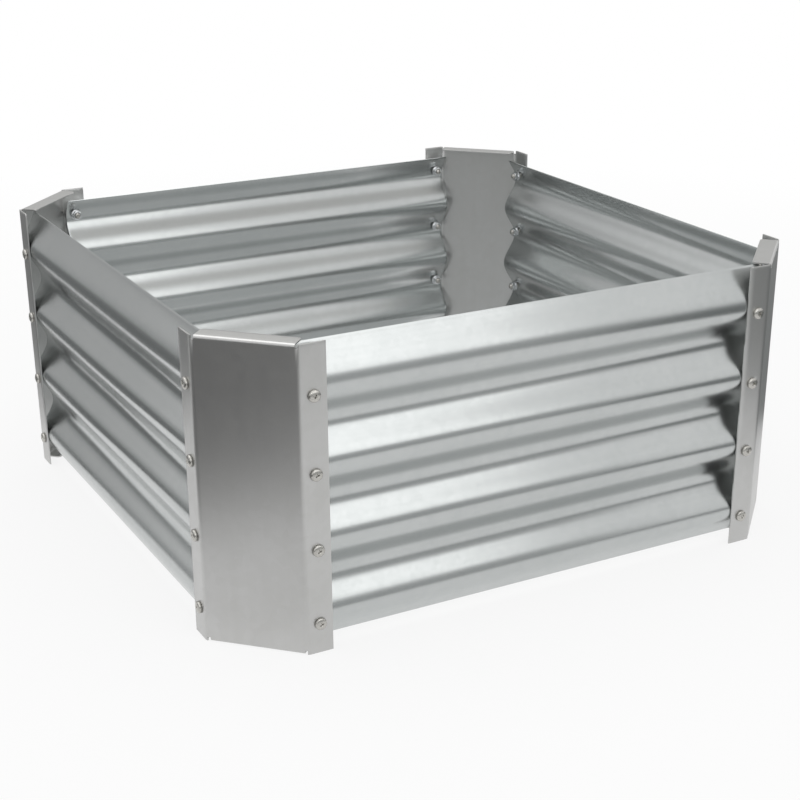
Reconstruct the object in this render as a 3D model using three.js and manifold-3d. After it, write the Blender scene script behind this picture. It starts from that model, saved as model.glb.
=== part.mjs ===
// Raised garden bed of galvanised steel, millimetres, +Z up.
// Four corrugated side panels lie inside the flanges of four folded corner brackets. On every flange a column
// of machine screws goes through the flange and the panel beside its outward crests, to a washer and a nut.
// The origin is on the ground in the middle of the bed. The front side faces -Y and the left side faces -X.
import * as THREE from "three";
import { mergeVertices } from "three/addons/utils/BufferGeometryUtils.js";
import Module from "manifold-3d";

const wasm = await Module();
wasm.setup();

// Bed
const bedSide = 676; // between the outer faces of opposite flanges
const bedHeight = 308; // of the brackets, which the bed stands on
const seatGap = 0.3; // left between two pieces that are screwed together

// Corner brackets
const bracketSheet = 1.5;
const cornerPlateWidth = 104; // between the two upright folds, on the outer face
const flangeWidth = 26;
const foldRadius = 1.5; // inside of every fold
const lipWidth = 20; // how far the lips reach in from the plate's outer face
const lipCornerRadius = 4;
const lipSlotWidth = 3; // the slot that parts each end of a lip from the upright fold
const lipSlotDepth = 4;

// Side panels
const panelSheet = 0.8;
const wavePitch = 76;
const waveDepth = 16; // of one face, from its outermost line to its innermost line
const lastWaveLength = 100; // of the flatter wave that ends at the longer margin's edge
const crestCount = 4; // outward crests of a panel, each with one screw at either end
const crestOffset = 6; // from the row of a crest's holes to its outermost line, towards the longer margin
const shortMargin = 19.2; // from the last row of holes to one edge; to the other edge is the longer margin
const shortEdgeGap = 11.4; // from the short margin's edge to the bracket's end
const longEdgeGap = 0.9; // from the long margin's edge to the bracket's lip
const panelEndGap = 2; // from the bracket's upright fold to the panel's end

// Screws, washers and nuts
const screwDiameter = 6;
const screwLength = 16; // under the head
const screwHoleDiameter = 7;
const headDiameter = 12;
const headHeight = 3.8;
const headRimHeight = 1.8;
const headTopDiameter = 8.6; // where the dome of the head is nearly flat
const headTopDrop = 0.7;
const washerDiameter = 12.5;
const washerThickness = 1.2;
const nutFlats = 10;
const nutHeight = 5;

// Fineness of the curved faces
const stepsPerWave = 12;
const stepsPerFold = 3;
const stepsPerLipCorner = 3;
const holeSides = 8;
const screwSides = 10;

// The sides in turn, anticlockwise seen from above. A panel that is turned over has its long margin below.
const sides = [
  { name: "front", turnedOver: false, cornerBefore: "front_left" },
  { name: "right", turnedOver: true, cornerBefore: "front_right" },
  { name: "rear", turnedOver: true, cornerBefore: "rear_right" },
  { name: "left", turnedOver: false, cornerBefore: "rear_left" },
];

// Sizes that follow from the others
const halfSide = bedSide / 2;
const cornerSetback = cornerPlateWidth * Math.SQRT1_2; // from the missing sharp corner to a fold
const outerFoldRadius = foldRadius + bracketSheet;
const uprightFoldReach = outerFoldRadius * Math.tan(Math.PI / 8); // of the plate's width, at either end
const lipHalfLength = cornerPlateWidth / 2 - uprightFoldReach - lipSlotWidth;
const longEdgeInset = bracketSheet + longEdgeGap; // from the long margin's edge to the bracket's end
const panelHeight = bedHeight - shortEdgeGap - longEdgeInset;
const longMargin = panelHeight - shortMargin - (crestCount - 1) * wavePitch;
const panelLength = bedSide - 2 * (cornerSetback + panelEndGap);
const screwPlace = halfSide - cornerSetback - flangeWidth / 2; // from the middle of a side
const panelInset = bracketSheet + seatGap; // from the flange's outer face to the panel's crests
const washerReach = crestOffset + washerDiameter / 2; // of a washer's edge, from the line of the crest
const washerRise = crestRise(washerReach) + panelSheet * Math.hypot(1, crestSlope(washerReach));
const washerInset = panelInset + washerRise + seatGap; // from the flange's outer face

// ---- Solids and sheets ------------------------------------------------------------------------------------

function solidOf(geometry) {
  const bare = geometry.clone();
  bare.deleteAttribute("normal");
  bare.deleteAttribute("uv");
  const merged = mergeVertices(bare, 1e-4);
  const vertProperties = merged.attributes.position.array;
  const triVerts = new Uint32Array(merged.index.array);
  return new wasm.Manifold(new wasm.Mesh({ numProp: 3, vertProperties, triVerts }));
}

function geometryOf(solid) {
  const { vertProperties, triVerts } = solid.getMesh();
  const geometry = new THREE.BufferGeometry();
  geometry.setAttribute("position", new THREE.BufferAttribute(vertProperties, 3));
  geometry.setIndex(new THREE.BufferAttribute(triVerts, 1));
  return geometry;
}

// An outline drawn out along Z, from the height "from" to the height "to".
function prism(outline, from, to) {
  const geometry = new THREE.ExtrudeGeometry(new THREE.Shape(outline), {
    depth: to - from,
    bevelEnabled: false,
  });
  return geometry.translate(0, 0, from);
}

// A sheet's outline: its outer face as a row of { point, inward }, then its inner face one thickness inward.
function sheetOutline(face, thickness) {
  const innerFace = face.map(({ point, inward }) => point.clone().addScaledVector(inward, thickness));
  return [...face.map(({ point }) => point), ...innerFace.reverse()];
}

// The outer face of a folded sheet, from the sharp points of its path. The sheet lies to the path's left.
function foldedFace(path) {
  const leftOf = (heading) => new THREE.Vector2(-heading.y, heading.x);
  const headings = path.slice(1).map((point, i) => point.clone().sub(path[i]).normalize());
  const face = [{ point: path[0], inward: leftOf(headings[0]) }];
  for (let i = 1; i < headings.length; i++) {
    const turn = Math.acos(headings[i - 1].dot(headings[i]));
    const start = path[i].clone().addScaledVector(headings[i - 1], -outerFoldRadius * Math.tan(turn / 2));
    const centre = start.addScaledVector(leftOf(headings[i - 1]), outerFoldRadius);
    for (let step = 0; step <= stepsPerFold; step++) {
      const heading = headings[i - 1].clone().rotateAround(new THREE.Vector2(), (turn * step) / stepsPerFold);
      const inward = leftOf(heading);
      face.push({ point: centre.clone().addScaledVector(inward, -outerFoldRadius), inward });
    }
  }
  face.push({ point: path.at(-1), inward: leftOf(headings.at(-1)) });
  return face;
}

// A cutter for one screw hole, along Y turned about Z, long enough to go through a flange or a crest.
function holeCutter(place, turn) {
  const radius = screwHoleDiameter / 2;
  const cutter = new THREE.CylinderGeometry(radius, radius, waveDepth, holeSides);
  cutter.rotateZ(turn);
  return solidOf(cutter.translate(place.x, place.y, place.z));
}

// ---- Side panels ------------------------------------------------------------------------------------------
// A panel's own frame has X along the side, Y inward from the crests, and Z up from the short margin's edge.

// How far past the line of the last crest a point lies, at a distance above or below the line of the first.
function reachPastCrests(distance) {
  return Math.max(0, distance - (crestCount - 1) * wavePitch);
}

// The angle of the wave there.
function waveAngle(distance) {
  const past = reachPastCrests(distance);
  return 2 * Math.PI * ((distance - past) / wavePitch + past / lastWaveLength);
}

// How far a panel's face has gone inward there.
function crestRise(distance) {
  return (waveDepth / 2) * (1 - Math.cos(waveAngle(distance)));
}

// How steeply the face goes inward there.
function crestSlope(distance) {
  const waveLength = reachPastCrests(distance) > 0 ? lastWaveLength : wavePitch;
  return ((waveDepth * Math.PI) / waveLength) * Math.sin(waveAngle(distance));
}

// The panel's face from edge to edge, as points of height and depth at whole steps from the crests.
function panelFace() {
  const lastCrest = shortMargin + crestOffset;
  const topDistance = panelHeight - lastCrest;
  const stepHeight = wavePitch / stepsPerWave;
  const distances = [-lastCrest];
  for (let step = Math.floor(-lastCrest / stepHeight) + 1; step * stepHeight < topDistance; step++) {
    distances.push(step * stepHeight);
  }
  distances.push(topDistance);
  return distances.map((distance) => {
    const point = new THREE.Vector2(distance + lastCrest, crestRise(distance));
    return { point, inward: new THREE.Vector2(-crestSlope(distance), 1).normalize() };
  });
}

function makePanel() {
  const sheet = prism(sheetOutline(panelFace(), panelSheet), -panelLength / 2, panelLength / 2);
  let panel = solidOf(sheet.rotateY(-Math.PI / 2));
  for (const end of [-1, 1]) {
    for (let row = 0; row < crestCount; row++) {
      const place = new THREE.Vector3(end * screwPlace, 0, shortMargin + row * wavePitch);
      panel = panel.subtract(holeCutter(place, 0));
    }
  }
  return geometryOf(panel);
}

// Heights of a side's rows of holes over the ground, from the lowest up.
function holeHeights(side) {
  const lowest = side.turnedOver ? longEdgeInset + longMargin : shortEdgeGap + shortMargin;
  return Array.from({ length: crestCount }, (_, row) => lowest + row * wavePitch);
}

// ---- Corner brackets --------------------------------------------------------------------------------------
// A bracket's own frame has X along the centre plate's outer face from its middle, Y inward, and Z up.

// The centre plate between the slots, with the lip that is folded inward at either end of it.
function makeLips() {
  const folded = foldedFace([
    new THREE.Vector2(lipWidth, bedHeight),
    new THREE.Vector2(0, bedHeight),
    new THREE.Vector2(0, 0),
    new THREE.Vector2(lipWidth, 0),
  ]);
  const channel = prism(sheetOutline(folded, bracketSheet), -cornerPlateWidth / 2, cornerPlateWidth / 2);
  channel.rotateX(Math.PI / 2).rotateZ(Math.PI / 2);
  const outline = [
    new THREE.Vector2(-lipHalfLength, -bracketSheet),
    new THREE.Vector2(lipHalfLength, -bracketSheet),
  ];
  for (const end of [1, -1]) {
    for (let step = 0; step <= stepsPerLipCorner; step++) {
      const angle = (Math.PI / 2) * (step / stepsPerLipCorner + (end > 0 ? 0 : 1));
      const x = end * (lipHalfLength - lipCornerRadius) + lipCornerRadius * Math.cos(angle);
      outline.push(new THREE.Vector2(x, lipWidth - lipCornerRadius + lipCornerRadius * Math.sin(angle)));
    }
  }
  return solidOf(channel).intersect(solidOf(prism(outline, -lipWidth, bedHeight + lipWidth)));
}

// The side before the corner gives the heights of the holes in the flange at -X, and the side after it at +X.
function makeBracket(sideBefore, sideAfter) {
  const flangeRun = flangeWidth * Math.SQRT1_2;
  const folded = foldedFace([
    new THREE.Vector2(-cornerPlateWidth / 2 - flangeRun, flangeRun),
    new THREE.Vector2(-cornerPlateWidth / 2, 0),
    new THREE.Vector2(cornerPlateWidth / 2, 0),
    new THREE.Vector2(cornerPlateWidth / 2 + flangeRun, flangeRun),
  ]);
  let bracket = solidOf(prism(sheetOutline(folded, bracketSheet), 0, bedHeight));
  for (const end of [0, bedHeight]) {
    const slotSpan = 2 * (lipHalfLength + lipSlotWidth);
    const slots = new THREE.BoxGeometry(slotSpan, 2 * outerFoldRadius, 2 * lipSlotDepth);
    bracket = bracket.subtract(solidOf(slots.translate(0, 0, end)));
  }
  bracket = bracket.add(makeLips());
  for (const [end, side] of [[-1, sideBefore], [1, sideAfter]]) {
    for (const height of holeHeights(side)) {
      const place = new THREE.Vector3(end * (cornerPlateWidth + flangeRun) / 2, flangeRun / 2, height);
      bracket = bracket.subtract(holeCutter(place, (end * Math.PI) / 4));
    }
  }
  return geometryOf(bracket);
}

// ---- Screws -----------------------------------------------------------------------------------------------
// A screw's own frame has Y along the screw, inward from the flange's outer face. Washer and nut are tight.

function makeScrew() {
  const headBase = -seatGap;
  const headTop = headBase - headHeight;
  const outline = [
    [0, headTop],
    [headTopDiameter / 2, headTop + headTopDrop],
    [headDiameter / 2, headBase - headRimHeight],
    [headDiameter / 2, headBase],
    [screwDiameter / 2, headBase],
    [screwDiameter / 2, washerInset],
    [washerDiameter / 2, washerInset],
    [washerDiameter / 2, washerInset + washerThickness],
    [screwDiameter / 2, washerInset + washerThickness],
    [screwDiameter / 2, headBase + screwLength],
    [0, headBase + screwLength],
  ];
  const profile = outline.map(([radius, y]) => new THREE.Vector2(radius, y));
  const turned = new THREE.LatheGeometry(profile, screwSides);
  const nutReach = nutHeight + washerThickness / 2; // from the middle of the washer's thickness
  const nut = new THREE.CylinderGeometry(nutFlats / Math.sqrt(3), nutFlats / Math.sqrt(3), nutReach, 6);
  nut.translate(0, washerInset + washerThickness + nutHeight - nutReach / 2, 0);
  return geometryOf(solidOf(turned).add(solidOf(nut)));
}

// ---- The bed ----------------------------------------------------------------------------------------------

const looks = {
  panel: { color: 0xaab1b3, roughness: 0.36, metalness: 0.9 },
  bracket: { color: 0x9fa3a5, roughness: 0.45, metalness: 0.85 },
  screw: { color: 0xc3c6c8, roughness: 0.3, metalness: 0.95 },
};

const bed = new THREE.Group();
bed.name = "raised_garden_bed";

// A piece in its side's frame: X along the side, Y inward from the flanges' outer face, Z up from the ground.
function place(name, geometry, look, sideTurn, inSide) {
  geometry.applyMatrix4(inSide);
  geometry.translate(0, -halfSide, 0);
  geometry.rotateZ(sideTurn);
  geometry.computeVertexNormals();
  const mesh = new THREE.Mesh(geometry, new THREE.MeshStandardMaterial({ ...look, flatShading: true }));
  mesh.name = name;
  bed.add(mesh);
}

sides.forEach((side, i) => {
  const sideTurn = (i * Math.PI) / 2;
  const sideBefore = sides.at(i - 1);
  const sideAfter = sides[(i + 1) % sides.length];

  const panelPlace = new THREE.Matrix4();
  if (side.turnedOver) {
    panelPlace.makeRotationY(Math.PI).setPosition(0, panelInset, longEdgeInset + panelHeight);
  } else {
    panelPlace.setPosition(0, panelInset, shortEdgeGap);
  }
  place(`panel_${side.name}`, makePanel(), looks.panel, sideTurn, panelPlace);

  const bracketPlace = new THREE.Matrix4().makeRotationZ(-Math.PI / 4);
  bracketPlace.setPosition(cornerSetback / 2 - halfSide, cornerSetback / 2, 0);
  const bracket = makeBracket(sideBefore, side);
  place(`bracket_${side.cornerBefore}`, bracket, looks.bracket, sideTurn, bracketPlace);

  for (const [end, neighbour] of [[-1, sideBefore], [1, sideAfter]]) {
    holeHeights(side).forEach((height, row) => {
      const screwPosition = new THREE.Matrix4().makeTranslation(end * screwPlace, 0, height);
      const name = `screw_${side.name}_${neighbour.name}_${row + 1}`;
      place(name, makeScrew(), looks.screw, sideTurn, screwPosition);
    });
  }
});

export default bed;
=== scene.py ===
import math
import random

import bmesh
import bpy
from mathutils import Matrix, Vector


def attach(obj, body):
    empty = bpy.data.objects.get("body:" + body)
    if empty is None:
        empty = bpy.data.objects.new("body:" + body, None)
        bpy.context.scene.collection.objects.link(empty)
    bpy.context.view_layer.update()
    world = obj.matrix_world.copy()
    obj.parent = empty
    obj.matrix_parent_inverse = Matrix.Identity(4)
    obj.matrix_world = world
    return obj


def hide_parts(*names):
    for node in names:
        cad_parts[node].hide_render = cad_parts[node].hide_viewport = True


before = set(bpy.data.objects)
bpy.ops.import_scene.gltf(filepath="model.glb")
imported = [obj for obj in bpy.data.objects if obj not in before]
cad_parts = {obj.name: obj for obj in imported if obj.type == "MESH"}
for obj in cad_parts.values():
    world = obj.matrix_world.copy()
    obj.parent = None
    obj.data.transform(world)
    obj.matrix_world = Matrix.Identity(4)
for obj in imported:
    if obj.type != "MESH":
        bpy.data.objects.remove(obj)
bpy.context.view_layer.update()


# ---- Side panels -------------------------------------------------------------------------------------------
# Four sheets of galvanised steel, 0.8 mm thick, in level waves whose outward crests lie against the brackets'
# flanges, 6 mm beside the holes. The wave at the longer margin is flatter. That margin is at the top on the
# front and left sides, and the right and rear panels are the same sheet turned over.
bed_half = 0.338
bed_height = 0.308
panel_half_length = 0.26246
panel_height = 0.2942
panel_sheet = 0.0008
panel_inset = 0.0018
long_edge_inset = 0.0024
short_edge_gap = 0.0114
hole_rows = 4
hole_margin = 0.0192
hole_surround = 0.007
screw_place = 0.25146
screw_hole = 0.0035
wave_pitch = 0.076
last_wave_length = 0.100
wave_depth = 0.016
crest_offset = 0.006
wave_rows = 124
middle_columns = 12
panel_drill = 0.02
panel_edge = 0.00012


class Signal:
    """An output socket of a finish. Arithmetic on numbers adds Math nodes."""

    def __init__(self, finish, socket):
        self.finish = finish
        self.socket = socket

    def math(self, operation, *inputs):
        return self.finish.node("ShaderNodeMath", {"operation": operation}, dict(enumerate(inputs)))

    def beside(self, output):
        return Signal(self.finish, self.socket.node.outputs[output])

    def __add__(self, other):
        return self.math("ADD", self, other)

    def __sub__(self, other):
        return self.math("SUBTRACT", self, other)

    def __rsub__(self, other):
        return self.math("SUBTRACT", other, self)

    def __mul__(self, other):
        return self.math("MULTIPLY", self, other)

    __radd__ = __add__
    __rmul__ = __mul__


class Finish:
    """The nodes of one material, or of the studio's world."""

    def __init__(self, owner):
        owner.use_nodes = True
        self.owner = owner
        self.tree = owner.node_tree
        self.shader = self.tree.nodes.get("Principled BSDF")

    def node(self, kind, settings, inputs, output=0):
        made = self.tree.nodes.new(kind)
        for key, value in settings.items():
            setattr(made, key, value)
        for key, value in inputs.items():
            self.plug(made.inputs[key], value)
        return Signal(self, made.outputs[output])

    def plug(self, socket, value):
        if isinstance(value, Signal):
            self.tree.links.new(value.socket, socket)
        elif socket.type == "RGBA":
            socket.default_value = (*value, 1.0)
        else:
            socket.default_value = value

    def place(self):
        return self.node("ShaderNodeTexCoord", {}, {}, "Object")

    def stretched(self, place, scale):
        return self.node("ShaderNodeMapping", {}, {"Vector": place, "Scale": scale})

    def noise(self, place, scale, detail, roughness=0.5):
        inputs = {"Vector": place, "Scale": scale, "Detail": detail, "Roughness": roughness}
        return self.node("ShaderNodeTexNoise", {}, inputs, "Fac")

    def between(self, value, low, high):
        inputs = {"Value": value, "From Min": low, "From Max": high}
        return self.node("ShaderNodeMapRange", {"clamp": True}, inputs)

    def mixed(self, share, first, second):
        return self.node("ShaderNodeMix", {"data_type": "RGBA"}, {0: share, 6: first, 7: second}, 2)


def galvanised(name, light, dark, roughness, spangle, streak_scale):
    """Zinc-coated sheet: faint crystals, rolling streaks, handling smudges and a slightly uneven face."""
    finish = Finish(bpy.data.materials.new(name))
    place = finish.place()
    cells = {"Vector": place, "Scale": spangle}
    crystals = finish.node("ShaderNodeTexVoronoi", {"feature": "F1"}, cells, "Color")
    crystal = finish.node("ShaderNodeSeparateColor", {}, {"Color": crystals}, "Red")
    streaks = finish.noise(finish.stretched(place, streak_scale), scale=1.0, detail=5.0, roughness=0.6)
    smudges = finish.noise(place, scale=9.0, detail=4.0, roughness=0.62)
    grain = finish.noise(place, scale=900.0, detail=2.0)
    patches = finish.between(smudges, low=0.34, high=0.70)
    tone = 0.34 * patches + 0.36 * streaks + 0.14 * crystal + 0.16 * grain
    colour = finish.mixed(tone, light, dark)
    finish.plug(finish.shader.inputs["Base Color"], colour)
    finish.shader.inputs["Metallic"].default_value = 1.0
    rough = roughness + 0.02 * (patches - 0.4) + 0.03 * (streaks - 0.5) + 0.02 * (crystal - 0.5)
    finish.plug(finish.shader.inputs["Roughness"], rough)
    unevenness = finish.noise(place, scale=11.0, detail=1.0, roughness=0.4)
    height = 0.5 * unevenness + 0.008 * streaks + 0.001 * grain + 0.001 * crystal
    bump = finish.node("ShaderNodeBump", {}, {"Height": height, "Strength": 0.3, "Distance": 0.001})
    finish.plug(finish.shader.inputs["Normal"], bump)
    return finish.owner


def mesh_from(bm, name):
    mesh = bpy.data.meshes.new(name)
    bm.to_mesh(mesh)
    bm.free()
    return mesh


def sheet_mesh(name, stations, cells, thickness):
    """A sheet from stations {key: (point on the outer face, inward direction)} and cells of such keys."""
    bm = bmesh.new()
    outer = {key: bm.verts.new(point) for key, (point, inward) in stations.items()}
    inner = {key: bm.verts.new(point + inward * thickness) for key, (point, inward) in stations.items()}
    rim = {}
    for cell in cells:
        bm.faces.new([outer[key] for key in cell])
        bm.faces.new([inner[key] for key in reversed(cell)])
        for start, end in zip(cell, [*cell[1:], cell[0]]):
            if (end, start) in rim:
                del rim[(end, start)]
            else:
                rim[(start, end)] = True
    for start, end in rim:
        bm.faces.new([outer[end], outer[start], inner[start], inner[end]])
    bmesh.ops.recalc_face_normals(bm, faces=bm.faces)
    return mesh_from(bm, name)


def new_object(name, data):
    item = bpy.data.objects.new(name, data)
    bpy.context.scene.collection.objects.link(item)
    return item


def add_piece(name, mesh, material, place=Matrix()):
    piece = new_object(name, mesh)
    piece.matrix_world = place
    mesh.materials.clear()
    mesh.materials.append(material)
    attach(piece, "root")
    return piece


def modified(base):
    """The mesh that an object's modifiers make of it. The object itself goes."""
    bpy.context.view_layer.update()
    made = bpy.data.meshes.new_from_object(base.evaluated_get(bpy.context.evaluated_depsgraph_get()))
    bpy.data.objects.remove(base)
    return made


def combined(mesh, other, operation):
    """One mesh cut away from another, or crossed with it."""
    base = new_object("base", mesh)
    tool = new_object("tool", other)
    cut = base.modifiers.new("cut", "BOOLEAN")
    cut.operation = operation
    cut.object = tool
    cut.solver = "EXACT"
    made = modified(base)
    bpy.data.objects.remove(tool)
    return made


def softened(mesh, width, angle=40.0):
    """The mesh with its sharp edges rounded off and its curved faces shaded smooth."""
    base = new_object("base", mesh)
    bevel = base.modifiers.new("edges", "BEVEL")
    bevel.width = width
    bevel.segments = 2
    bevel.limit_method = "ANGLE"
    bevel.angle_limit = math.radians(angle)
    bevel.use_clamp_overlap = True
    made = modified(base)
    made.shade_smooth()
    made.set_sharp_from_angle(angle=math.radians(angle))
    return made


def drilled(mesh, holes, radius, length):
    """The mesh with round holes at (place, direction)."""
    hole_sides = 32
    cutters = bmesh.new()
    for place, direction in holes:
        turn = direction.to_track_quat("Z", "Y").to_matrix().to_4x4()
        bmesh.ops.create_cone(
            cutters, cap_ends=True, segments=hole_sides, radius1=radius, radius2=radius, depth=length,
            matrix=Matrix.Translation(place) @ turn,
        )
    return combined(mesh, mesh_from(cutters, "drill"), "DIFFERENCE")


def panel_mesh():
    """X along the side, Y inward from the flange's outer face, Z up from the short margin's edge."""
    inner_end = screw_place - hole_surround
    ends = [panel_half_length, screw_place + hole_surround, inner_end]
    middle = [inner_end * (1 - 2 * step / middle_columns) for step in range(1, middle_columns)]
    columns = sorted([*ends, *middle, *(-x for x in ends)])
    first_crest = hole_margin + crest_offset
    last_crest = first_crest + (hole_rows - 1) * wave_pitch
    stations = {}
    for j in range(wave_rows + 1):
        z = panel_height * j / wave_rows
        past = max(0.0, z - last_crest)
        phase = 2 * math.pi * ((z - past - first_crest) / wave_pitch + past / last_wave_length)
        depth = panel_inset + wave_depth / 2 * (1 - math.cos(phase))
        slope = wave_depth * math.pi * math.sin(phase) / (last_wave_length if past > 0 else wave_pitch)
        inward = Vector((0, 1, -slope)).normalized()
        for i, x in enumerate(columns):
            stations[i, j] = (Vector((x, depth, z)), inward)
    cells = [
        ((i, j), (i + 1, j), (i + 1, j + 1), (i, j + 1))
        for i in range(len(columns) - 1)
        for j in range(wave_rows)
    ]
    mesh = sheet_mesh("panel", stations, cells, panel_sheet)
    holes = [
        (Vector((end * screw_place, 0, hole_margin + row * wave_pitch)), Vector((0, 1, 0)))
        for end in (-1, 1)
        for row in range(hole_rows)
    ]
    return softened(drilled(mesh, holes, screw_hole, panel_drill), panel_edge)


sides = [("front", False), ("right", True), ("rear", True), ("left", False)]
side_frames = [
    Matrix.Rotation(turn * math.pi / 2, 4, "Z") @ Matrix.Translation((0, -bed_half, 0))
    for turn in range(4)
]
panel_finish = galvanised(
    "galvanised_panel", light=(0.545, 0.56, 0.557), dark=(0.455, 0.475, 0.472),
    roughness=0.25, spangle=150.0, streak_scale=(3.0, 3.0, 240.0),
)
panel_shape = panel_mesh()
for (side, turned_over), side_frame in zip(sides, side_frames):
    if turned_over:
        lift = Matrix.Translation((0, 0, long_edge_inset + panel_height))
        upright = lift @ Matrix.Rotation(math.pi, 4, "Y")
    else:
        upright = Matrix.Translation((0, 0, short_edge_gap))
    mesh = panel_shape.copy()
    mesh.transform(side_frame @ upright)
    piece = add_piece(f"sheet_{side}", mesh, panel_finish)
    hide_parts(f"panel_{side}")


# ---- Corner brackets ---------------------------------------------------------------------------------------
# Each is one blank of 1.5 mm galvanised sheet: a centre plate set at 45 degrees, a flange folded back along
# each side of it, and a lip folded inward at its top and at its foot. Short slots free the lips from the
# upright folds, and four holes are punched in each flange.
bracket_sheet = 0.0015
plate_half = 0.052
flange_width = 0.026
upright_fold_radius = 0.008
lip_fold_radius = 0.003
lip_half = 0.0478
lip_width = 0.020
lip_middle = 0.010
lip_corner = 0.004
lip_columns = (0.012, 0.024, 0.034)
lip_corner_steps = 6
slot_end = 0.0511
slot_depth = 0.004
fold_steps = 8
lip_rows = fold_steps + 3
plate_rows = 12
plate_foot = lip_fold_radius
plate_top = bed_height - lip_fold_radius
bracket_drill = 0.012
bracket_edge = 0.00018
tiny = 1e-6


def hole_heights(turned_over):
    """Of a side's holes, from the lowest up."""
    if turned_over:
        lowest = long_edge_inset + panel_height - hole_margin - (hole_rows - 1) * wave_pitch
    else:
        lowest = short_edge_gap + hole_margin
    return [lowest + row * wave_pitch for row in range(hole_rows)]


def bracket_plan():
    """Columns from end to end: (kind, point on the outer face, inward direction, cut of the lip's corner)."""
    reach = upright_fold_radius * math.tan(math.pi / 8)
    centre = Vector((plate_half - reach, upright_fold_radius))
    plan = [("lip", Vector((x, 0)), Vector((0, 1)), 0.0) for x in lip_columns]
    for step in range(lip_corner_steps + 1):
        angle = math.pi / 2 * step / lip_corner_steps
        x = lip_half - lip_corner * (1 - math.sin(angle))
        plan.append(("lip", Vector((x, 0)), Vector((0, 1)), lip_corner * (1 - math.cos(angle))))
    plan.append(("fold", Vector((plate_half - reach, 0)), Vector((0, 1)), 0.0))
    for step in range(1, fold_steps + 1):
        angle = math.pi / 4 * step / fold_steps
        inward = Vector((-math.sin(angle), math.cos(angle)))
        plan.append(("fold", centre - inward * upright_fold_radius, inward, 0.0))
    along = Vector((math.cos(math.pi / 4), math.sin(math.pi / 4)))
    inward = Vector((-along.y, along.x))
    for distance in (flange_width / 2 - hole_surround, flange_width / 2 + hole_surround, flange_width):
        plan.append(("flange", Vector((plate_half, 0)) + along * distance, inward, 0.0))
    mirrored = [(kind, Vector((-p.x, p.y)), Vector((-n.x, n.y)), cut) for kind, p, n, cut in plan]
    return [*reversed(mirrored), ("lip", Vector((0, 0)), Vector((0, 1)), 0.0), *plan]


def bracket_levels():
    """Heights of the plate's rows, with those that the lips' folds, the slots and the holes need."""
    levels = {0.0, plate_foot, plate_top, slot_depth, bed_height - slot_depth, bed_height}
    for height in (*hole_heights(False), *hole_heights(True)):
        levels |= {height - hole_surround, height + hole_surround}
    levels |= {bed_height * step / plate_rows for step in range(1, plate_rows)}
    return sorted(levels)


def lip_stations(i, x, cut):
    """The folds and lips at the top and at the foot, for column i."""
    stations = {}
    for up, edge in ((1, bed_height), (-1, 0.0)):
        for step in range(1, fold_steps + 1):
            angle = math.pi / 2 * step / fold_steps
            normal = Vector((0, math.cos(angle), -up * math.sin(angle)))
            middle = Vector((x, lip_fold_radius, edge - up * lip_fold_radius))
            stations[i, up, step] = (middle - normal * lip_fold_radius, normal)
        inward = Vector((0, 0, -up))
        stations[i, up, lip_rows - 2] = (Vector((x, lip_middle, edge)), inward)
        stations[i, up, lip_rows - 1] = (Vector((x, lip_width - lip_corner, edge)), inward)
        if cut < lip_corner - tiny:
            stations[i, up, lip_rows] = (Vector((x, lip_width - cut, edge)), inward)
    return stations


def bracket_mesh(over_before, over_after):
    """X along the centre plate's outer face, Y inward, Z up. The sides beside it set the holes' heights."""
    plan = bracket_plan()
    levels = bracket_levels()
    stations = {}
    for i, (kind, point, inward, cut) in enumerate(plan):
        for z in levels:
            if kind != "lip" or plate_foot <= z <= plate_top:
                stations[i, z] = (Vector((point.x, point.y, z)), Vector((inward.x, inward.y, 0)))
        if kind == "lip":
            stations.update(lip_stations(i, point.x, cut))
    cells = []
    for i in range(len(plan) - 1):
        for low, high in zip(levels, levels[1:]):
            keys = [(i, low), (i + 1, low), (i + 1, high), (i, high)]
            place = max(abs(plan[i][1].x), abs(plan[i + 1][1].x))
            at_lips = low < slot_depth or high > bed_height - slot_depth
            if at_lips and lip_half + tiny < place < slot_end:
                continue
            if all(key in stations for key in keys):
                cells.append(keys)
        if plan[i][0] == plan[i + 1][0] == "lip":
            for up, edge in ((1, plate_top), (-1, plate_foot)):
                for step in range(lip_rows):
                    first = (i, edge) if step == 0 else (i, up, step)
                    second = (i + 1, edge) if step == 0 else (i + 1, up, step)
                    keys = [first, second, (i + 1, up, step + 1), (i, up, step + 1)]
                    keys = [key for key in keys if key in stations]
                    if len(keys) > 2:
                        cells.append(keys if up > 0 else keys[::-1])
    used = {key for cell in cells for key in cell}
    stations = {key: value for key, value in stations.items() if key in used}
    mesh = sheet_mesh("bracket", stations, cells, bracket_sheet)
    holes = []
    run = flange_width / 2 * math.sqrt(0.5)
    for end, turned_over in ((-1, over_before), (1, over_after)):
        direction = Vector((-end, 1, 0)).normalized()
        holes += [(Vector((end * (plate_half + run), run, z)), direction) for z in hole_heights(turned_over)]
    return softened(drilled(mesh, holes, screw_hole, bracket_drill), bracket_edge)


corners = ["front_left", "front_right", "rear_right", "rear_left"]
setback = 2 * plate_half * math.sqrt(0.5)
bracket_finish = galvanised(
    "galvanised_bracket", light=(0.565, 0.565, 0.563), dark=(0.475, 0.475, 0.462),
    roughness=0.36, spangle=120.0, streak_scale=(90.0, 90.0, 3.0),
)
for index, corner in enumerate(corners):
    mesh = bracket_mesh(sides[index - 1][1], sides[index][1])
    middle = Matrix.Translation((setback / 2 - bed_half, setback / 2, 0))
    mesh.transform(side_frames[index] @ middle @ Matrix.Rotation(-math.pi / 4, 4, "Z"))
    piece = add_piece(f"folded_{corner}", mesh, bracket_finish)
    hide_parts(f"bracket_{corner}")


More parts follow.
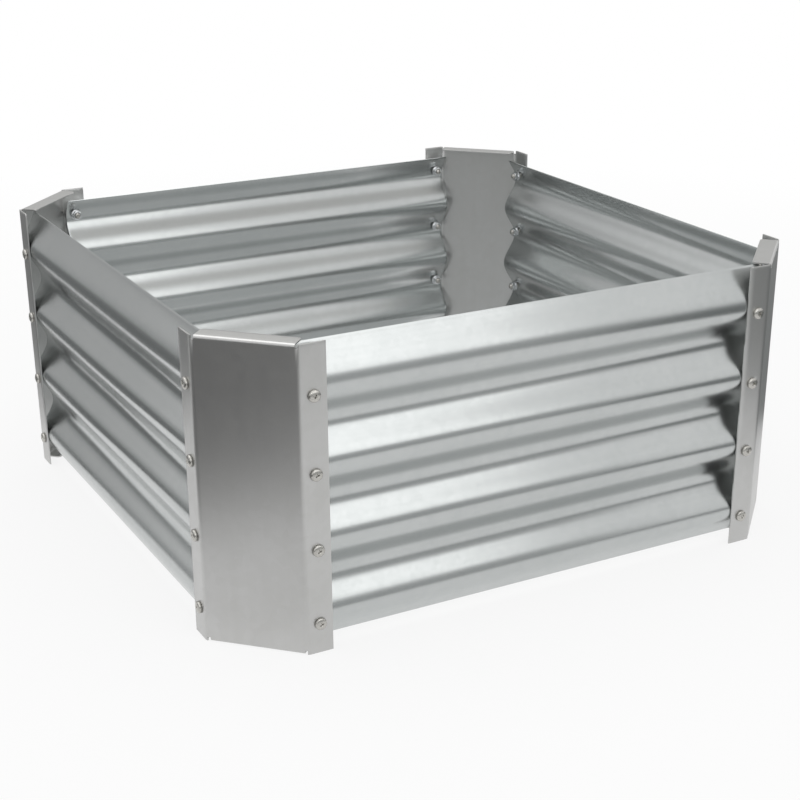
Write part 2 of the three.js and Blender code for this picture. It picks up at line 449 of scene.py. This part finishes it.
# ---- Screws, washers and nuts ------------------------------------------------------------------------------
# M6 zinc-plated machine screws, 16 mm long, with a low domed head and a cross recess. Each goes in from the
# outside. Inside the bed a plain washer seats on the flank of the wave, and a hexagon nut is run down on it.
head_radius = 0.006
head_height = 0.0038
head_lift = 0.0001
head_foot_edge = 0.0003
dome_radius = 0.0054
dome_drop = 0.0011
dome_power = 2.6
dome_steps = 8
shoulder_radius = 0.0058
shoulder_drop = 0.0015
rim_drop = 0.0021
recess_foot = (0.0011, 0.00045, -0.0021)
recess_mouth = (0.0030, 0.00065, 0.001)
head_edge = 0.00008
round_sides = 48
round_edge_angle = 35.0
shank_radius = 0.003
shank_end = -0.0127
screw_tip = -0.0157
tip_chamfer = 0.0006
tip_steepness = 1.1
thread_pitch = 0.001
thread_depth = 0.00055
thread_overlap = 0.0001
thread_rows = 30
thread_sides = 24
thread_edge_angle = 50.0
washer_top = -0.00678
washer_radius = 0.00625
washer_bore = 0.0032
washer_thickness = 0.0012
washer_edge = 0.00022
nut_flats = 0.010
nut_height = 0.005
nut_gap = 0.00005
nut_chamfer = 0.0006
nut_face_share = 0.95
nut_corner_share = 1.02
nut_barrel_sides = 64
nut_bore = 0.00305
nut_bore_sides = 32
countersink_radius = 0.0046
countersink_depth = 0.00055
bore_clearance = 0.001
nut_edge = 0.00012
nut_edge_angle = 30.0
scuff_scale = (300.0, 300.0, 2400.0)


def plated(name, light, dark, roughness):
    """Bright zinc plate on turned and pressed steel, with dull specks and fine scuffs."""
    finish = Finish(bpy.data.materials.new(name))
    place = finish.place()
    dots = finish.noise(place, scale=900.0, detail=3.0, roughness=0.6)
    specks = finish.between(dots, low=0.45, high=0.7)
    rubs = finish.noise(finish.stretched(place, scuff_scale), scale=1.0, detail=3.0)
    colour = finish.mixed(0.6 * specks + 0.3 * rubs, light, dark)
    finish.plug(finish.shader.inputs["Base Color"], colour)
    finish.shader.inputs["Metallic"].default_value = 1.0
    finish.plug(finish.shader.inputs["Roughness"], roughness + 0.16 * specks)
    height = rubs + 0.5 * specks
    bump = finish.node("ShaderNodeBump", {}, {"Height": height, "Strength": 0.25, "Distance": 0.00005})
    finish.plug(finish.shader.inputs["Normal"], bump)
    return finish.owner


def bridge(bm, rings):
    """Faces between each ring of vertices and the next. A ring of one vertex is a point on the axis."""
    for below, above in zip(rings, rings[1:]):
        around = max(len(below), len(above))
        for side in range(around):
            beside = (side + 1) % around
            quad = [below[side % len(below)], below[beside % len(below)]]
            quad += [above[beside % len(above)], above[side % len(above)]]
            bm.faces.new(list(dict.fromkeys(quad)))


def turned_mesh(name, profile, sides, closed=False):
    """Turned about Z from (radius, height) points, which start and end on the axis or close to a ring."""
    bm = bmesh.new()
    angles = [2 * math.pi * side / sides for side in range(sides)]
    rings = []
    for radius, height in profile:
        if radius == 0:
            rings.append([bm.verts.new((0, 0, height))])
        else:
            rings.append([bm.verts.new((radius * math.cos(a), radius * math.sin(a), height)) for a in angles])
    bridge(bm, [*rings, rings[0]] if closed else rings)
    bmesh.ops.recalc_face_normals(bm, faces=bm.faces)
    return mesh_from(bm, name)


def recess_blade(turn):
    """One of the two tapering blades that sink the cross recess."""
    blade = bmesh.new()
    foot, mouth = (
        [
            blade.verts.new((x * length, y * width, head_lift + head_height + height))
            for x, y in ((-1, -1), (1, -1), (1, 1), (-1, 1))
        ]
        for length, width, height in (recess_foot, recess_mouth)
    )
    blade.faces.new(foot[::-1])
    blade.faces.new(mouth)
    for i in range(4):
        blade.faces.new((foot[i], foot[(i + 1) % 4], mouth[(i + 1) % 4], mouth[i]))
    bmesh.ops.rotate(blade, cent=(0, 0, 0), matrix=Matrix.Rotation(turn, 3, "Z"), verts=blade.verts)
    return mesh_from(blade, "blade")


def thread_mesh():
    """The screw's end, from inside the shank to the tip."""
    bm = bmesh.new()
    start = shank_end + thread_overlap
    rings = []
    for row in range(thread_rows + 1):
        z = start + (screw_tip - start) * row / thread_rows
        taper = max(0.0, tip_chamfer - (z - screw_tip)) * tip_steepness
        ring = []
        for side in range(thread_sides):
            share = (z / thread_pitch - side / thread_sides) % 1.0
            radius = shank_radius - thread_depth * abs(2 * share - 1) - taper
            angle = 2 * math.pi * side / thread_sides
            ring.append(bm.verts.new((radius * math.cos(angle), radius * math.sin(angle), z)))
        rings.append(ring)
    bridge(bm, rings)
    bm.faces.new(rings[0])
    bm.faces.new(rings[-1][::-1])
    bmesh.ops.recalc_face_normals(bm, faces=bm.faces)
    mesh = mesh_from(bm, "thread")
    mesh.shade_smooth()
    mesh.set_sharp_from_angle(angle=math.radians(thread_edge_angle))
    return mesh


def screw_mesh():
    """Z points out of the bed, from the flange's outer face."""
    top = head_lift + head_height
    shape = [(0.0, top)]
    for step in range(1, dome_steps + 1):
        share = step / dome_steps
        shape.append((dome_radius * share, top - dome_drop * share ** dome_power))
    shape += [(shoulder_radius, top - shoulder_drop), (head_radius, top - rim_drop)]
    shape += [(head_radius, head_lift + head_foot_edge), (shoulder_radius, head_lift)]
    shape += [(shank_radius, head_lift), (shank_radius, shank_end), (0.0, shank_end)]
    head = turned_mesh("head", shape, round_sides)
    for turn in (0, math.pi / 2):
        head = combined(head, recess_blade(turn), "DIFFERENCE")
    whole = bmesh.new()
    for mesh in (softened(head, head_edge, round_edge_angle), thread_mesh()):
        whole.from_mesh(mesh)
    return mesh_from(whole, "screw")


def washer_mesh():
    """A ring with eased edges."""
    low = washer_top - washer_thickness
    section = [(washer_bore, washer_top), (washer_radius, washer_top)]
    section += [(washer_radius, low), (washer_bore, low)]
    ring = turned_mesh("washer", section, round_sides, closed=True)
    return softened(ring, washer_edge, round_edge_angle)


def nut_mesh():
    """A hexagon chamfered at both faces, with a countersunk bore."""
    high = washer_top - washer_thickness - nut_gap
    low = high - nut_height
    corner = nut_flats / math.sqrt(3)
    hexagon = turned_mesh("hexagon", [(0, low), (corner, low), (corner, high), (0, high)], 6)
    face = nut_flats / 2 * nut_face_share
    wide = corner * nut_corner_share
    shape = [(0, low), (face, low), (wide, low + nut_chamfer)]
    shape += [(wide, high - nut_chamfer), (face, high), (0, high)]
    body = combined(hexagon, turned_mesh("barrel", shape, nut_barrel_sides), "INTERSECT")
    below, above = low - bore_clearance, high + bore_clearance
    shape = [(0, below), (countersink_radius, below), (nut_bore, low + countersink_depth)]
    shape += [(nut_bore, above), (0, above)]
    body = combined(body, turned_mesh("bore", shape, nut_bore_sides), "DIFFERENCE")
    return softened(body, nut_edge, nut_edge_angle)


screw_finish = plated(
    "zinc_plated_screw", light=(0.52, 0.51, 0.48), dark=(0.38, 0.37, 0.35), roughness=0.24
)
nut_finish = plated(
    "zinc_plated_nut", light=(0.80, 0.81, 0.82), dark=(0.46, 0.47, 0.48), roughness=0.16
)
fasteners = [
    ("screw", screw_mesh(), screw_finish),
    ("washer", washer_mesh(), nut_finish),
    ("nut", nut_mesh(), nut_finish),
]
turns = random.Random(7)
outward = Matrix.Rotation(math.pi / 2, 4, "X")
for index, (side, turned_over) in enumerate(sides):
    neighbours = ((-1, sides[index - 1][0]), (1, sides[(index + 1) % 4][0]))
    for end, neighbour in neighbours:
        for row, height in enumerate(hole_heights(turned_over)):
            name = f"{side}_{neighbour}_{row + 1}"
            hole = side_frames[index] @ Matrix.Translation((end * screw_place, 0, height)) @ outward
            for kind, shape, finish in fasteners:
                place = hole @ Matrix.Rotation(turns.uniform(0, 2 * math.pi), 4, "Z")
                piece = add_piece(f"{kind}_piece_{name}", shape, finish, place)
                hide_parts(f"screw_{name}")


# ---- Floor, light and camera -------------------------------------------------------------------------------
# The bed stands on a white floor under large soft lamps, seen from the front left corner. Round it lie and
# stand dim grey boards that only the metal sees, as the dark end of a studio does past a white table. Two
# more glowing patches that only the metal sees are painted: shade on the floor inside the bed, and light on
# the floor by its front left corner.
floor_half = 14.0
floor_drop = 0.0006
arc_boards = 24


def level(height, *corners):
    return [(x, y, height) for x, y in corners]


def flat(x0, x1, y0, y1, height=0.0):
    return level(height, (x0, y0), (x1, y0), (x1, y1), (x0, y1))


def arc(radius, low, high, start, end):
    """Upright boards side by side along an arc, angles in degrees from +X."""
    outlines = []
    for step in range(arc_boards):
        first = math.radians(start + (end - start) * step / arc_boards)
        second = math.radians(start + (end - start) * (step + 1) / arc_boards)
        edges = ((first, low), (second, low), (second, high), (first, high))
        outlines.append([(radius * math.cos(angle), radius * math.sin(angle), z) for angle, z in edges])
    return outlines


def flat_object(name, outlines):
    """One face for each outline of corners."""
    bm = bmesh.new()
    for outline in outlines:
        bm.faces.new([bm.verts.new(corner) for corner in outline])
    return new_object(name, mesh_from(bm, name))


def studio_floor():
    """White paper that glows for the camera. Near the bed a part of it is lit, and takes the bed's shadow."""
    floor = flat_object("floor", [flat(-floor_half, floor_half, -floor_half, floor_half)])
    floor.location.z = -floor_drop
    finish = Finish(bpy.data.materials.new("white_floor"))
    finish.plug(finish.shader.inputs["Base Color"], (0.90, 0.90, 0.90))
    finish.shader.inputs["Roughness"].default_value = 0.9
    finish.shader.inputs["Specular IOR Level"].default_value = 0.1
    seen = finish.node("ShaderNodeLightPath", {}, {}, "Is Camera Ray")
    distance = finish.node("ShaderNodeVectorMath", {"operation": "LENGTH"}, {0: finish.place()}, "Value")
    near_share = 0.84 + 0.16 * finish.between(distance, low=0.5, high=1.8)
    mirrored = seen.beside("Is Glossy Ray") + seen.beside("Is Transmission Ray")
    share = seen * near_share + 0.9 * mirrored
    glow = finish.node("ShaderNodeEmission", {}, {"Color": (1, 1, 1), "Strength": 1.0})
    shaders = {0: share, 1: Signal(finish, finish.shader.outputs[0]), 2: glow}
    mixed = finish.node("ShaderNodeMixShader", {}, shaders)
    finish.plug(finish.tree.nodes["Material Output"].inputs["Surface"], mixed)
    floor.data.materials.append(finish.owner)


def lamp(name, place, target, width, height, radiance):
    """A soft rectangular lamp, so bright that a mirror shows it that much over white."""
    data = bpy.data.lights.new(name, "AREA")
    data.shape = "RECTANGLE"
    data.size = width
    data.size_y = height
    data.energy = radiance * math.pi * width * height
    item = new_object(name, data)
    item.location = place
    item.rotation_mode = "QUATERNION"
    item.rotation_quaternion = (Vector(target) - Vector(place)).to_track_quat("-Z", "Y")
    item.visible_camera = False


def board(name, outlines, shade):
    """Glowing boards that only mirror rays see: the dim studio round the bed, and patches of painted shade
    and painted light on the floor by it.
    """
    item = flat_object(name, outlines)
    finish = Finish(bpy.data.materials.new(name))
    finish.plug(finish.shader.inputs["Base Color"], (0, 0, 0))
    finish.shader.inputs["Specular IOR Level"].default_value = 0.0
    finish.plug(finish.shader.inputs["Emission Color"], shade)
    finish.shader.inputs["Emission Strength"].default_value = 1.0
    item.data.materials.append(finish.owner)
    item.visible_camera = False
    item.visible_diffuse = False
    item.visible_shadow = False


studio_floor()
lamp("front_softbox", (-0.11, -1.07, 0.97), (-0.11, 0.0, 0.97), width=1.14, height=1.10, radiance=0.82)
lamp("top_softbox", (-0.1, 0.3, 2.6), (0.0, 0.0, 0.1), width=3.0, height=3.0, radiance=1.15)
board("left_boards", [flat(-6, -0.62, -6, 0.15)], shade=(0.12, 0.12, 0.12))
board("side_boards", [flat(-1.7, -0.43, 0.35, 2.4)], shade=(0.17, 0.175, 0.175))
rear_corners = flat(-6, -1.7, 0.15, 6) + flat(-1.7, 6, 2.4, 6)  # one outline that crosses itself
board("rear_boards", [rear_corners], shade=(0.52, 0.53, 0.53))
board("rear_left_wall", arc(5.0, 0.0, 2.6, 90, 124), shade=(0.50, 0.50, 0.50))
board("rear_wall", arc(5.0, 0.6, 3.2, 35, 85), shade=(0.58, 0.58, 0.57))
board("overhead_board", [flat(0.0, 2.2, -1.7, -0.7, height=2.4)], shade=(0.5, 0.49, 0.47))
board("right_boards", [flat(0.56, 6, -6, 0.5)], shade=(0.20, 0.21, 0.21))
board("front_boards", [flat(-0.62, 0.56, -6, -1.3)], shade=(0.30, 0.31, 0.31))
board("low_wall", arc(5.5, 0.0, 0.6, 0, 360), shade=(0.35, 0.36, 0.36))
# Painted shade: a grey glowing patch on the floor inside the bed, seen only in mirror rays, stands for the
# bed's shadow there in the inner faces' reflections.
inside = [(0.23, -0.3), (0.3, -0.23), (0.3, 0.23), (0.23, 0.3)]
inside += [(-x, -y) for x, y in inside]
board("painted_shade_inside_bed", [level(0.0, *inside)], shade=(0.56, 0.575, 0.575))
step_corners = [(-0.67, -1.09, 0.06), (0.6, -1.09, 0.06), (0.6, -1.09, 0.42), (-0.67, -1.09, 0.42)]
board("front_step", [step_corners], shade=(0.46, 0.47, 0.47))
# Painted light: a bright glowing patch on the floor by the front left corner, seen only in mirror rays, lifts
# the bed's shadow out of the front bracket's reflection.
painted_light_corners = level(0.0, (-0.66, -0.36), (-0.36, -0.66), (-0.24, -0.42), (-0.42, -0.24))
board("painted_light_by_corner", [painted_light_corners], shade=(0.9, 0.9, 0.9))

world = bpy.context.scene.world or bpy.data.worlds.new("studio")
bpy.context.scene.world = world
sky = Finish(world)
rays = sky.node("ShaderNodeLightPath", {}, {}, "Is Camera Ray")
shown = rays + rays.beside("Is Glossy Ray") + rays.beside("Is Transmission Ray")
backdrop = sky.tree.nodes["Background"]
backdrop.inputs["Color"].default_value = (1, 1, 1, 1)
sky.plug(backdrop.inputs["Strength"], 0.5 + 0.5 * shown)

camera_data = bpy.data.cameras.new("camera")
camera_data.sensor_fit = "HORIZONTAL"
camera_data.sensor_width = 36.0
camera_data.lens = 72.2
camera_data.shift_x = -0.0304
camera_data.shift_y = 0.1004
camera_data.clip_start = 0.05
camera_data.clip_end = 60.0
camera = new_object("camera", camera_data)
camera.location = (-0.8151, -1.5511, 0.750)
heading = math.radians(60.89)
down = math.radians(-23.24)
look = Vector((math.cos(heading) * math.cos(down), math.sin(heading) * math.cos(down), math.sin(down)))
camera.rotation_mode = "QUATERNION"
camera.rotation_quaternion = look.to_track_quat("-Z", "Y")
bpy.context.scene.camera = camera
bpy.context.scene.view_settings.view_transform = "Standard"
